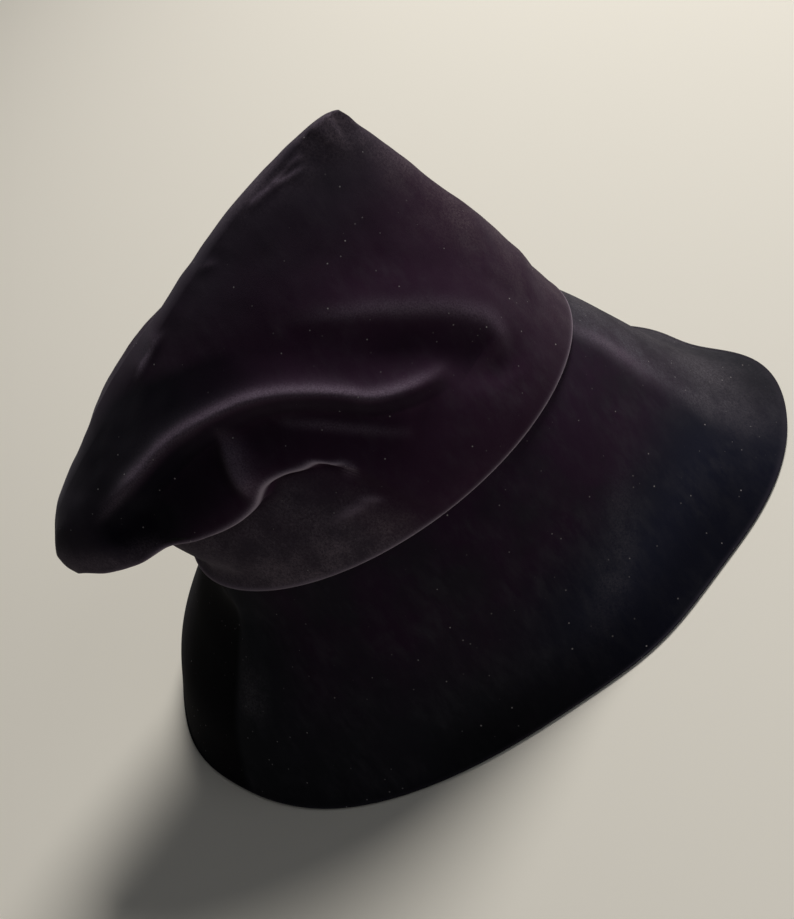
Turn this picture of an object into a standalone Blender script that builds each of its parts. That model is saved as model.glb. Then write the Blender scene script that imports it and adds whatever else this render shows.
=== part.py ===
"""A wide-brim velvet hat: a tall draped crown, closed along a ridge, on a deep bell brim.

Metres, +Z up. The hat stands on the edge of its brim at z = 0. Its front looks towards -Y, and the
wearer's right, called the near side here, is towards -X. "Around" is an angle that starts at the
front, is a quarter turn on the near side and half a turn at the back.
"""

import bpy
import numpy as np

# Driving sizes
SEAM_HALF_LENGTH = 0.102  # the oval where crown and brim meet: an adult head of about 57 cm
SEAM_HALF_WIDTH = 0.082
SEAM_HEIGHT = 0.0915
WALL = 0.0022  # velvet, padding and inner cloth together
LIP_THINNING = 0.35  # share of the wall that is missing where the cloth turns at the tuck's lip
LIP_THIN_SPREAD = 0.05
GAP = 0.0003  # clearance between the two pieces
ROOF_DOWN = 1.35  # wall under the ridge, straight down, and towards the ridge's ends, in walls
ROOF_ENDWARD = 0.8
ROOF_START = 0.6  # share of the crown's rows where the wall starts to turn into that roof
ROOF_BLEND = 0.25
NORMAL_SMOOTHING = 4  # passes that even out the directions into the wall
EDGE_FLAT = 0.0035  # width of the flat ring that the brim stands on
EDGE_TURN = 0.0012  # height and depth of the turn at the brim's edge

# Facets
SEGMENTS = 72
CROWN_ROWS = (
    0.0, 0.06, 0.13, 0.20, 0.26, 0.305, 0.33, 0.352, 0.375, 0.40, 0.43, 0.47,
    0.52, 0.57, 0.62, 0.67, 0.72, 0.78, 0.84, 0.90, 0.955, 1.0,
)
BRIM_ROWS = (0.03, 0.09, 0.18, 0.30, 0.43, 0.56, 0.70, 0.83, 0.93, 1.0)


def table(names, *rows):
    """Rows of numbers as named columns."""
    return dict(zip(names.split(), np.array(rows, float).T))


# Level rings of the crown, from its lower edge (level 0) to the ridge (level 1): how far the ring
# reaches to the front and the back, how high it is there above the seam, its half width, how far
# its sides rise above the line from front to back, and how pointed its front end is.
CROWN_RINGS = table(
    "level front front_up back back_up half_width side_up point",
    (0.00, 0.1020, 0.0000, 0.1020, 0.0000, 0.0820, 0.0000, 1.00),
    (0.08, 0.0993, 0.0095, 0.1060, 0.0050, 0.0825, 0.0005, 1.00),
    (0.20, 0.0950, 0.0250, 0.1170, 0.0105, 0.0790, 0.0030, 1.03),
    (0.35, 0.0895, 0.0450, 0.1305, 0.0165, 0.0695, 0.0070, 1.06),
    (0.50, 0.0840, 0.0640, 0.1390, 0.0225, 0.0570, 0.0110, 1.10),
    (0.65, 0.0780, 0.0825, 0.1430, 0.0280, 0.0430, 0.0145, 1.14),
    (0.80, 0.0720, 0.1015, 0.1434, 0.0330, 0.0285, 0.0165, 1.17),
    (0.92, 0.0673, 0.1168, 0.1425, 0.0365, 0.0155, 0.0160, 1.19),
    (0.97, 0.0659, 0.1226, 0.1410, 0.0382, 0.0090, 0.0160, 1.20),
    (1.00, 0.0640, 0.1266, 0.1400, 0.0390, 0.0045, 0.0160, 1.20),
)
FRONT_FULLNESS = 0.25  # how much more the ridge rises towards the front, and towards the back
BACK_FULLNESS = 3.0
BACK_POWER = 8

# Where handling has pressed the oval inwards, as a share of its size, at places around in degrees.
# It fades out over the crown's lower levels and over the upper part of the brim.
PRESSED = table("place spread share", (-24, 30, 0.045), (184, 22, 0.045))
PRESSED_CROWN = 0.8
PRESSED_BRIM = 0.6

# The tuck, where the drape hangs over the crown's lower part: its level, how far the lower part
# lies inside the drape, and how far the lip sags, at places around in degrees.
TUCK = table(
    "place level depth sag",
    (0, 0.360, 0.000, 0.000),
    (62, 0.340, 0.000, 0.000),
    (76, 0.365, 0.001, 0.000),
    (86, 0.410, 0.004, 0.002),
    (93, 0.440, 0.006, 0.003),
    (103, 0.410, 0.009, 0.004),
    (117, 0.440, 0.013, 0.005),
    (126, 0.480, 0.017, 0.005),
    (135, 0.515, 0.021, 0.006),
    (147, 0.546, 0.027, 0.005),
    (157, 0.572, 0.032, 0.0025),
    (180, 0.568, 0.036, 0.001),
    (203, 0.560, 0.031, 0.004),
    (225, 0.520, 0.021, 0.004),
    (243, 0.450, 0.012, 0.003),
    (262, 0.420, 0.005, 0.002),
    (280, 0.400, 0.000, 0.000),
    (360, 0.360, 0.000, 0.000),
)
LIP = 0.34  # share of the crown's rows that lies below the tuck's lip
STAND_TOP = 0.9 * LIP  # row where the stand below the lip ends
STAND_EARLY = 0.75  # a power below 1: the stand leans inwards mostly near the seam
LIP_TURN = 0.22 * LIP
LIP_MIDDLE = 1.08 * LIP  # row of the lip's lowest line, and how many rows the sag spreads over
LIP_SPREAD = 0.05
STAND_SAG = 0.8  # share of the lip's sag that the stand's top gives way to
SHALLOW = 0.004  # a tuck less deep than this is too slight to hide anything

# Soft folds: the side they are on, their spread, their height (a hollow's is below zero), and the
# way they run in the side view, as places forward of the middle and above the seam.
NEAR, FAR = -1, 1
FOLDS = (
    (
        "main ridge", NEAR, 0.0060, 0.0085,
        (
            (-0.112, 0.051), (-0.080, 0.0635), (-0.052, 0.0710), (-0.029, 0.0712),
            (-0.009, 0.0650), (0.011, 0.0503), (0.029, 0.0435), (0.046, 0.0395),
        ),
    ),
    (
        "hollow under the main ridge", NEAR, 0.0052, -0.0055,
        ((-0.100, 0.047), (-0.060, 0.0585), (-0.025, 0.0590), (0.000, 0.0460), (0.024, 0.0330)),
    ),
    (
        "front ridge", NEAR, 0.0062, 0.0045,
        ((0.010, 0.081), (0.033, 0.0685), (0.054, 0.0525), (0.065, 0.0365), (0.0645, 0.0200)),
    ),
    (
        "front hollow", NEAR, 0.0070, -0.0055,
        ((0.008, 0.070), (0.026, 0.0614), (0.040, 0.0530), (0.055, 0.0327), (0.056, 0.0220)),
    ),
    ("third ridge", NEAR, 0.0040, 0.0022, ((-0.020, 0.057), (-0.004, 0.0485), (0.015, 0.0360))),
    (
        "crescent", NEAR, 0.0040, 0.0040,
        ((-0.044, 0.066), (-0.049, 0.056), (-0.049, 0.047), (-0.046, 0.040)),
    ),
    ("puff hollow", NEAR, 0.0052, -0.0040, ((-0.118, 0.043), (-0.100, 0.043), (-0.082, 0.046))),
    ("front edge strip", NEAR, 0.0040, 0.0020, ((0.076, 0.084), (0.084, 0.053), (0.092, 0.020))),
    ("peak nub", NEAR, 0.0050, 0.0020, ((0.050, 0.121), (0.056, 0.123), (0.061, 0.123))),
    ("far ridge", FAR, 0.0083, 0.0060, ((-0.105, 0.056), (-0.050, 0.078), (0.020, 0.060))),
    ("far hollow", FAR, 0.0070, -0.0045, ((-0.050, 0.060), (-0.010, 0.055), (0.045, 0.030))),
)
FOLD_START = 0.012  # height over which the folds grow out of the crown's plain lower edge
FOLD_END = 0.22  # share of a fold's path over which it fades at each end, and the least it fades to
FOLD_LEAST = 0.15
SIDE_FADE = 0.008  # a fold of one side fades over this width, which starts just past the middle
SIDE_START = -0.003

# The brim from the seam down: how far it has dropped, and how far it reaches out from the crown's
# lower edge at the front, the sides and the back.
BRIM_PROFILE = table(
    "level drop front side back",
    (0.0, 0.0000, -0.0025, -0.0025, -0.0025),
    (0.2, 0.0200, 0.0080, 0.0070, -0.0005),
    (0.4, 0.0410, 0.0185, 0.0155, 0.0215),
    (0.6, 0.0600, 0.0300, 0.0250, 0.0430),
    (0.8, 0.0770, 0.0445, 0.0345, 0.0560),
    (1.0, 0.0915, 0.0666, 0.0425, 0.0658),
)
# Where the brim's edge reaches further or less far than the oval: place around and spread in degrees
BRIM_WAVES = table(
    "place spread reach",
    (-7, 11.5, -0.0088),
    (-24, 28, -0.0195),
    (54, 12, -0.0024),
    (72, 12, 0.0018),
    (85, 25, -0.0015),
    (156, 17, -0.0043),
    (186, 12, -0.0022),
)
WAVE_POWER = 2.2  # the waves grow towards the brim's edge
# Soft corners that run down the brim: place around at the seam, its drift on the way down, height
# and spread
BRIM_CORNERS = table(
    "place drift height spread",
    (22, 7, 0.0028, 11),
    (152, -2, 0.0035, 9),
)
CORNER_SOFTNESS = 1.5
CORNER_START = 0.15  # level where a corner has its full height, and the share it has lost at the edge
CORNER_LOSS = 0.8


def ease(x):
    """0 below 0, 1 above 1, and a smooth step between."""
    x = np.clip(x, 0, 1)
    return x * x * (3 - 2 * x)


def follow(places, values, at):
    """The smooth curve through these values at these places."""
    slopes = np.gradient(values, places)
    start = np.clip(np.searchsorted(places, at, side="right") - 1, 0, len(places) - 2)
    gap = places[start + 1] - places[start]
    u = (at - places[start]) / gap
    ends = (2 * u**3 - 3 * u**2 + 1) * values[start] + (3 * u**2 - 2 * u**3) * values[start + 1]
    turns = (u**3 - 2 * u**2 + u) * slopes[start] + (u**3 - u**2) * slopes[start + 1]
    return ends + gap * turns


def pressed(around):
    """How far handling has pressed the oval inwards here, as a share of its size."""
    share = 0
    for place, spread, most in zip(*PRESSED.values()):
        turn = (np.degrees(around) - place + 180) % 360 - 180
        share = share + most * np.exp(-((turn / spread) ** 2))
    return share


def ring_point(around, level):
    """A point of the crown before its tuck and folds."""
    ring = {name: follow(CROWN_RINGS["level"], CROWN_RINGS[name], level) for name in CROWN_RINGS}
    backward = (1 - np.cos(around)) / 2
    half_length = (ring["front"] + ring["back"]) / 2
    forward = (ring["front"] - ring["back"]) / 2 + half_length * np.cos(around)
    point = ring["point"] + (1 - ring["point"]) * backward
    side = np.sign(np.sin(around)) * np.abs(np.sin(around)) ** point
    up = ring["front_up"] + (ring["back_up"] - ring["front_up"]) * backward
    fullness = 1 + FRONT_FULLNESS * np.cos(around) + BACK_FULLNESS * backward**BACK_POWER
    up = up + ring["side_up"] * np.sin(around) ** 2 * fullness
    kept = 1 - pressed(around) * (1 - ease(level / PRESSED_CROWN))
    return np.stack([-ring["half_width"] * side * kept, -forward * kept, SEAM_HEIGHT + up], -1)


def tuck(name, around):
    return follow(TUCK["place"], TUCK[name], np.degrees(around) % 360)


def level_of(around, row):
    """The level of a row of the crown's mesh: the rows crowd along the tuck's lip."""
    lip = tuck("level", around)
    return np.where(row < LIP, lip * row / LIP, lip + (1 - lip) * (row - LIP) / (1 - LIP))


def tucked_point(around, row):
    """A point of the crown with the tuck but without folds."""
    spot = ring_point(around, level_of(around, row))
    depth = np.maximum(tuck("depth", around), 0)
    sag = np.maximum(tuck("sag", around), 0)
    up_the_stand = np.clip(row / STAND_TOP, 0, 1) ** STAND_EARLY
    below = up_the_stand * (1 - ease((row - STAND_TOP) / LIP_TURN))
    outward = spot * (1, 1, 0)
    outward = outward / np.maximum(np.linalg.norm(outward, axis=-1, keepdims=True), 1e-6)
    spot = spot - outward * (depth * below)[..., None]
    lip = np.exp(-(((row - LIP_MIDDLE) / LIP_SPREAD) ** 2))
    spot[..., 2] += STAND_SAG * sag * up_the_stand**2 * below - sag * lip
    return spot


def distance_to(path, forward, up):
    """How far each place is from a smooth path, and the share of the path passed there."""
    knots = np.array(path)
    share = np.linspace(0, 1, len(knots))
    steps = np.linspace(0, 1, 6 * len(knots))
    run = np.stack([follow(share, knots[:, 0], steps), follow(share, knots[:, 1], steps)], -1)
    nearest = np.full(forward.shape, np.inf)
    passed = np.zeros(forward.shape)
    for i in range(len(run) - 1):
        (f0, u0), (f1, u1) = run[i], run[i + 1]
        along = ((forward - f0) * (f1 - f0) + (up - u0) * (u1 - u0)) / ((f1 - f0) ** 2 + (u1 - u0) ** 2)
        along = np.clip(along, 0, 1)
        away = np.hypot(forward - f0 - along * (f1 - f0), up - u0 - along * (u1 - u0))
        passed = np.where(away < nearest, steps[i] + along * (steps[i + 1] - steps[i]), passed)
        nearest = np.minimum(nearest, away)
    return nearest, passed


def fold_height(spot):
    """How far the folds lift or sink the cloth at this point of the crown."""
    side, forward, up = spot[..., 0], -spot[..., 1], spot[..., 2] - SEAM_HEIGHT
    total = np.zeros(side.shape)
    for _, which, spread, height, path in FOLDS:
        away, passed = distance_to(path, forward, up)
        fade = ease(FOLD_LEAST + passed / FOLD_END) * ease(FOLD_LEAST + (1 - passed) / FOLD_END)
        on_side = ease((side * which - SIDE_START) / SIDE_FADE)
        total = total + height * np.exp(-0.5 * (away / spread) ** 2) * fade * on_side
    return total * ease(up / FOLD_START)


def outward_of(around, row):
    """The direction straight out of the crown, before its tuck and folds."""
    step = 1e-3
    row = np.clip(row, 0.01, 0.97)
    across = ring_point(around + step, level_of(around + step, row))
    across = across - ring_point(around - step, level_of(around - step, row))
    upward = ring_point(around, level_of(around, row + step))
    upward = upward - ring_point(around, level_of(around, row - step))
    normal = np.cross(upward, across)
    return normal / np.linalg.norm(normal, axis=-1, keepdims=True)


def crown_point(around, row):
    spot = tucked_point(around, row)
    hidden = np.clip(tuck("depth", around) / SHALLOW, 0, 1)
    hidden = hidden * ease((row - STAND_TOP) / LIP_TURN + 1) * (1 - ease((row - STAND_TOP) / LIP_TURN))
    return spot + outward_of(around, row) * (fold_height(spot) * (1 - hidden))[..., None]


def brim_point(around, level):
    levels = BRIM_PROFILE["level"]
    names = ("drop", "front", "side", "back")
    drop, front, side, back = (follow(levels, BRIM_PROFILE[name], level) for name in names)
    toward, across = np.cos(around), np.sin(around)
    reach = np.where(toward > 0, front, back) * toward**2 + side * across**2
    degrees = np.degrees(around)
    for place, spread, less in zip(*BRIM_WAVES.values()):
        turn = (degrees - place + 180) % 360 - 180
        reach = reach + less * np.exp(-((turn / spread) ** 2)) * level**WAVE_POWER
    for place, drift, height, spread in zip(*BRIM_CORNERS.values()):
        turn = (degrees - place - drift * level + 180) % 360 - 180
        corner = height * np.exp(-np.hypot(turn, CORNER_SOFTNESS) / spread)
        reach = reach + corner * ease(level / CORNER_START) * (1 - CORNER_LOSS * ease(level))
    kept = 1 - pressed(around) * (1 - ease(level / PRESSED_BRIM))
    side = -across * (SEAM_HALF_WIDTH + reach) * kept
    forward = toward * (SEAM_HALF_LENGTH + reach) * kept
    return np.stack([side, -forward, SEAM_HEIGHT - drop + 0 * forward], -1)


def centre_of_edge():
    """The middle of the brim's edge, which becomes the part's origin."""
    edge = brim_point(np.linspace(0, 2 * np.pi, SEGMENTS, endpoint=False), np.ones(SEGMENTS))
    return (edge.max(0) + edge.min(0)) / 2 * (1, 1, 0)


def grid_normals(grid):
    """Directions out of a closed ring of points in rows."""
    across = np.roll(grid, -1, 1) - np.roll(grid, 1, 1)
    upward = np.gradient(grid, axis=0)
    normal = np.cross(upward, across)
    return normal / np.linalg.norm(normal, axis=-1, keepdims=True)


def around_and(rows):
    return np.meshgrid(np.linspace(0, 2 * np.pi, SEGMENTS, endpoint=False), np.array(rows))


def ring_faces(rows):
    """Quads between neighbouring rows of a mesh whose rows are closed rings."""
    faces = []
    for row in range(rows - 1):
        for i in range(SEGMENTS):
            j = (i + 1) % SEGMENTS
            low, high = row * SEGMENTS, (row + 1) * SEGMENTS
            faces.append((low + i, high + i, high + j, low + j))
    return faces


def ridge_faces(first):
    """Faces that close a ring by joining its near half to its far half."""
    half = SEGMENTS // 2
    faces = [(first, first + SEGMENTS - 1, first + 1)]
    for i in range(1, half - 1):
        faces.append((first + i, first + SEGMENTS - i, first + SEGMENTS - i - 1, first + i + 1))
    faces.append((first + half - 1, first + half + 1, first + half))
    return faces


def add_piece(name, points, faces, material):
    mesh = bpy.data.meshes.new(name)
    mesh.from_pydata([tuple(point) for point in points - centre_of_edge()], [], faces)
    mesh.validate()
    mesh.materials.append(material)
    mesh.shade_smooth()
    piece = bpy.data.objects.new(name, mesh)
    bpy.context.scene.collection.objects.link(piece)
    return piece


def velvet(name, colour, roughness):
    material = bpy.data.materials.new(name)
    material.use_nodes = True
    shader = material.node_tree.nodes["Principled BSDF"]
    shader.inputs["Base Color"].default_value = (*colour, 1)
    shader.inputs["Roughness"].default_value = roughness
    shader.inputs["Metallic"].default_value = 0
    shader.inputs["Sheen Weight"].default_value = 0.4
    return material


def walls_of(outer, rows):
    """Steps of one wall's thickness into the crown: across its sides, and straight down at the ridge."""
    normal = grid_normals(outer)
    normal[0] *= (1, 1, 0)
    for _ in range(NORMAL_SMOOTHING):
        normal = normal + (np.roll(normal, 1, 1) + np.roll(normal, -1, 1)) / 2
        normal[1:-1] = normal[1:-1] + (normal[:-2] + normal[2:]) / 4
        normal /= np.linalg.norm(normal, axis=-1, keepdims=True)
    normal[0] *= (1, 1, 0)
    normal[0] /= np.linalg.norm(normal[0], axis=-1, keepdims=True)
    ends = outer[:, :, 1].max(1), outer[:, :, 1].min(1)
    endward = (2 * outer[:, :, 1] - (ends[0] + ends[1])[:, None]) / (ends[0] - ends[1])[:, None]
    roof = np.stack([0 * endward, ROOF_ENDWARD * endward, ROOF_DOWN + 0 * endward], -1)
    share = ease((rows - ROOF_START) / ROOF_BLEND)[..., None]
    thinner = LIP_THINNING * np.exp(-(((rows - LIP) / LIP_THIN_SPREAD) ** 2))[..., None]
    return -WALL * (1 - thinner) * ((1 - share) * normal + share * roof)


def make_crown(material):
    """The draped crown: an outer and an inner skin, joined along the lower edge."""
    around, rows = around_and(CROWN_ROWS)
    outer = crown_point(around, rows)
    inner = outer + walls_of(outer, rows)
    count = len(CROWN_ROWS)
    skin = ring_faces(count) + ridge_faces((count - 1) * SEGMENTS)
    offset = count * SEGMENTS
    lining = [tuple(offset + corner for corner in reversed(face)) for face in skin]
    edge = [(i, (i + 1) % SEGMENTS, offset + (i + 1) % SEGMENTS, offset + i) for i in range(SEGMENTS)]
    points = np.concatenate([outer.reshape(-1, 3), inner.reshape(-1, 3)])
    return add_piece("crown", points, skin + lining + edge, material)


def make_brim(material):
    """The bell brim, from the collar inside the crown down to the flat ring that it stands on."""
    around, rows = around_and(CROWN_ROWS)
    crown = crown_point(around, rows)
    inward = walls_of(crown, rows)[:2] / WALL
    collar = np.flip(crown[:2] + (WALL + GAP) * inward, 0)
    collar_inside = crown[:2] + (2 * WALL + GAP) * inward
    around, rows = around_and(BRIM_ROWS)
    outer = brim_point(around, rows)
    inner = np.flip(outer + WALL * grid_normals(outer), 0)
    outer[-1, :, 2] = EDGE_TURN
    edge = outer[-1:] * (1, 1, 0)
    sideways = edge / np.linalg.norm(edge, axis=-1, keepdims=True)
    flat = [edge - sideways * EDGE_TURN, edge - sideways * (EDGE_TURN + EDGE_FLAT)]
    loops = np.concatenate([collar, outer, *flat, inner[1:], collar_inside, collar[:1]])
    count = len(loops) - 1
    total = count * SEGMENTS
    faces = [tuple(corner % total for corner in reversed(face)) for face in ring_faces(count + 1)]
    return add_piece("brim", loops[:-1].reshape(-1, 3), faces, material)


def main():
    for old in list(bpy.data.objects):
        bpy.data.objects.remove(old)
    make_crown(velvet("crown_velvet", (0.012, 0.009, 0.014), 0.85))
    make_brim(velvet("brim_velvet", (0.008, 0.007, 0.010), 0.88))


main()
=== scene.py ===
# %% [markdown]
# # A velvet hat with a draped crown
# This lesson dresses a plain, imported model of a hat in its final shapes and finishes. The packed
# model is the frame: it says how big each piece is and where it sits. Every piece made here is
# built in metres in that same frame, so nothing has to be fitted afterwards.

# %% Load the frame
import math

import bpy
import numpy as np
from mathutils import Matrix, Vector, noise


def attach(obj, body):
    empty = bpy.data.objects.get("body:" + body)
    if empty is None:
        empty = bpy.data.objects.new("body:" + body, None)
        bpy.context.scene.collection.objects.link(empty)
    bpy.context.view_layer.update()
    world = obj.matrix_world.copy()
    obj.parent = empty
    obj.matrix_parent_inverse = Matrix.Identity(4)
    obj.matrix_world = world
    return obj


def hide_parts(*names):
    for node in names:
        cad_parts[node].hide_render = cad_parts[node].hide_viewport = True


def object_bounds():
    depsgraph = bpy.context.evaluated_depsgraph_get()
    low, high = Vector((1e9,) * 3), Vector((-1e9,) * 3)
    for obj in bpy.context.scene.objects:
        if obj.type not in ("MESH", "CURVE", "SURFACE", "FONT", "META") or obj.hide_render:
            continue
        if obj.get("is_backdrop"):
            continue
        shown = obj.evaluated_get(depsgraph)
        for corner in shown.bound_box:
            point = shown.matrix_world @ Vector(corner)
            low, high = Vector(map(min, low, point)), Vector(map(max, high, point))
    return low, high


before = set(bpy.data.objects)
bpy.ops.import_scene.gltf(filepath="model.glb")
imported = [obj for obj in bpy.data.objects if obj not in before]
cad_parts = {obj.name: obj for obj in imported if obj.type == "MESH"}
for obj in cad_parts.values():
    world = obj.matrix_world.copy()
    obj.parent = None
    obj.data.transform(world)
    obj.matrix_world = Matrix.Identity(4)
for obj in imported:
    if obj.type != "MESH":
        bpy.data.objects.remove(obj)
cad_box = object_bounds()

print("frame nodes:", sorted(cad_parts))

# %% [markdown]
# ## The sizes that drive everything
# A hat starts from the head. The seam where crown and brim meet is an oval that goes round the
# head, and the rest is measured from it: so far up to the peak, so far out to the brim's edge.
# Tables hold the shapes that a hatter would draw, one row for each section, and a smooth curve
# runs through each column.

# %% Sizes and a smooth curve
SEAM_HALF_LENGTH = 0.102
SEAM_HALF_WIDTH = 0.082
SEAM_HEIGHT = 0.0915  # how far the seam is above the surface that the hat stands on
WALL = 0.0022  # velvet, padding and inner cloth together
CLEARANCE = 0.0003  # between the crown's edge and the brim's collar
FLAT_SEGMENTS = 72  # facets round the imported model


def table(names, *rows):
    """Rows of numbers as named columns."""
    return dict(zip(names.split(), np.array(rows, float).T))


def ease(x):
    """0 below 0, 1 above 1, and a smooth step between."""
    x = np.clip(x, 0, 1)
    return x * x * (3 - 2 * x)


def follow(places, values, at):
    """The smooth curve through these values at these places."""
    slopes = np.gradient(values, places)
    start = np.clip(np.searchsorted(places, at, side="right") - 1, 0, len(places) - 2)
    gap = places[start + 1] - places[start]
    u = (at - places[start]) / gap
    ends = (2 * u**3 - 3 * u**2 + 1) * values[start] + (3 * u**2 - 2 * u**3) * values[start + 1]
    turns = (u**3 - 2 * u**2 + u) * slopes[start] + (u**3 - u**2) * slopes[start + 1]
    return ends + gap * turns


def bell(x, spread):
    """1 at 0, falling to nearly 0 at twice the spread on both sides."""
    return np.exp(-((x / spread) ** 2))


def turn_from(place, around):
    """How far round from a place, in degrees from -180 to 180."""
    return (np.degrees(around) - place + 180) % 360 - 180


print("seam oval, mm:", 2000 * SEAM_HALF_LENGTH, "x", 2000 * SEAM_HALF_WIDTH)

# %% Where handling has pressed the oval
PRESSED = table("place spread share", (-24, 30, 0.045), (184, 22, 0.045))


def pressed(around):
    """How far handling has pressed the oval inwards here, as a share of its size."""
    share = 0
    for place, spread, most in zip(*PRESSED.values()):
        share = share + most * bell(turn_from(place, around), spread)
    return share


print("the oval is pressed in at", PRESSED["place"], "degrees from the front")

# %% [markdown]
# ## The brim's form
# The brim is stiffened velvet, cut as a ring and blocked into a bell. It could be turned as a
# surface of revolution, but a head is oval and this brim has been handled: its edge waves a
# little, and two soft corners run down it, one near the front and one near the back. So the brim
# is an oval that grows as it drops, with its reach read from a table, and with the waves and the
# corners added. A place is an angle from the front, in degrees, and a level runs from 0 at the
# seam to 1 at the edge.

# %% The brim's surface
BRIM_PROFILE = table(
    "level drop front side back",
    (0.0, 0.0000, -0.0025, -0.0025, -0.0025),
    (0.2, 0.0200, 0.0080, 0.0070, -0.0005),
    (0.4, 0.0410, 0.0185, 0.0155, 0.0215),
    (0.6, 0.0600, 0.0300, 0.0250, 0.0430),
    (0.8, 0.0770, 0.0445, 0.0345, 0.0560),
    (1.0, 0.0915, 0.0666, 0.0425, 0.0658),
)
BRIM_WAVES = table(
    "place spread reach",
    (-7, 11.5, -0.0088),
    (-24, 28, -0.0195),
    (54, 12, -0.0024),
    (72, 12, 0.0018),
    (85, 25, -0.0015),
    (156, 17, -0.0043),
    (186, 12, -0.0022),
)
BRIM_CORNERS = table(
    "place drift height spread",
    (22, 7, 0.0028, 11),
    (152, -2, 0.0035, 9),
)
CORNER_SOFTNESS = 1.5  # degrees
CORNER_START = 0.15  # the level where a corner is at its sharpest
CORNER_LOSS = 0.8  # the share of it that is gone at the edge
WAVE_GROWTH = 2.2  # how late the waves grow on the way down to the edge
ROUND_AGAIN = 0.6  # the level below which the oval is no longer pressed


def brim_point(around, level):
    """A point of the brim: around is an angle from the front, level runs from seam to edge."""
    drop, front, side, back = (
        follow(BRIM_PROFILE["level"], BRIM_PROFILE[name], level)
        for name in ("drop", "front", "side", "back")
    )
    toward, across = np.cos(around), np.sin(around)
    reach = np.where(toward > 0, front, back) * toward**2 + side * across**2
    for place, spread, wave in zip(*BRIM_WAVES.values()):
        reach = reach + wave * bell(turn_from(place, around), spread) * level**WAVE_GROWTH
    for place, drift, height, spread in zip(*BRIM_CORNERS.values()):
        turn = turn_from(place + drift * level, around)
        corner = height * np.exp(-np.hypot(turn, CORNER_SOFTNESS) / spread)
        reach = reach + corner * ease(level / CORNER_START) * (1 - CORNER_LOSS * ease(level))
    kept = 1 - pressed(around) * (1 - ease(level / ROUND_AGAIN))
    side = -across * (SEAM_HALF_WIDTH + reach) * kept
    forward = toward * (SEAM_HALF_LENGTH + reach) * kept
    return np.stack([side, -forward, SEAM_HEIGHT - drop + 0 * forward], -1)


def centre_of_edge():
    """The middle of the brim's edge: the frame has its origin there."""
    facets = np.linspace(0, 2 * np.pi, FLAT_SEGMENTS, endpoint=False)
    edge = brim_point(facets, np.ones(FLAT_SEGMENTS))
    return (edge.max(0) + edge.min(0)) / 2 * (1, 1, 0)


CENTRE = centre_of_edge()
print("the shape's own middle lies at", np.round(CENTRE * 1000, 2), "mm")

# %% [markdown]
# ## The crown's form
# The crown is a soft hood. It could be sculpted by hand or dropped as simulated cloth, but the
# drape here was pinned by its maker, so its shape is known and has to stay. It is built as rings
# from the round seam, level 0, up to a pinched ridge, level 1. Each ring is an oval with its own
# reach and height at the front and at the back, its own half width, and a rise at its sides. Its
# point is how much its ends are pinched.

# %% The crown's level rings
CROWN_RINGS = table(
    "level front front_up back back_up half_width side_up point",
    (0.00, 0.1020, 0.0000, 0.1020, 0.0000, 0.0820, 0.0000, 1.00),
    (0.08, 0.0993, 0.0095, 0.1060, 0.0050, 0.0825, 0.0005, 1.00),
    (0.20, 0.0950, 0.0250, 0.1170, 0.0105, 0.0790, 0.0030, 1.03),
    (0.35, 0.0895, 0.0450, 0.1305, 0.0165, 0.0695, 0.0070, 1.06),
    (0.50, 0.0840, 0.0640, 0.1390, 0.0225, 0.0570, 0.0110, 1.10),
    (0.65, 0.0780, 0.0825, 0.1430, 0.0280, 0.0430, 0.0145, 1.14),
    (0.80, 0.0720, 0.1015, 0.1434, 0.0330, 0.0285, 0.0165, 1.17),
    (0.92, 0.0673, 0.1168, 0.1425, 0.0365, 0.0155, 0.0160, 1.19),
    (0.97, 0.0659, 0.1226, 0.1410, 0.0382, 0.0090, 0.0160, 1.20),
    (1.00, 0.0640, 0.1266, 0.1400, 0.0390, 0.0045, 0.0160, 1.20),
)
FRONT_FULLNESS = 0.25  # how much more the sides rise towards the front
BACK_FULLNESS = 3.0  # and right at the back
BACK_TIGHTNESS = 8  # how close to the very back that is
CROWN_ROUND_AGAIN = 0.8  # the level above which the oval is no longer pressed


def ring_point(around, level):
    """A point of the crown before its tuck and folds."""
    ring = {name: follow(CROWN_RINGS["level"], CROWN_RINGS[name], level) for name in CROWN_RINGS}
    backward = (1 - np.cos(around)) / 2
    half_length = (ring["front"] + ring["back"]) / 2
    forward = (ring["front"] - ring["back"]) / 2 + half_length * np.cos(around)
    point = ring["point"] + (1 - ring["point"]) * backward
    side = np.sign(np.sin(around)) * np.abs(np.sin(around)) ** point
    up = ring["front_up"] + (ring["back_up"] - ring["front_up"]) * backward
    fullness = 1 + FRONT_FULLNESS * np.cos(around) + BACK_FULLNESS * backward**BACK_TIGHTNESS
    up = up + ring["side_up"] * np.sin(around) ** 2 * fullness
    kept = 1 - pressed(around) * (1 - ease(level / CROWN_ROUND_AGAIN))
    return np.stack([-ring["half_width"] * side * kept, -forward * kept, SEAM_HEIGHT + up], -1)


peak = ring_point(np.zeros(1), np.ones(1))[0]
print("the peak is", round((peak[2] - SEAM_HEIGHT) * 1000, 1), "mm above the seam")

# %% [markdown]
# ## The tuck
# Above the seam the cloth stands up for a few centimetres. Then the drape falls over it like a
# lip, deepest at the back, where it hangs clear as a puff. It could be a second piece of cloth laid
# over the first, but the real hood is one cloth, so the lip is a step in the rings: the rows below
# it are pulled inwards, and the rows just above it sag. The table says, for places round the
# crown, at which level the lip is, how deep the step is and how far it sags.

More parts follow.
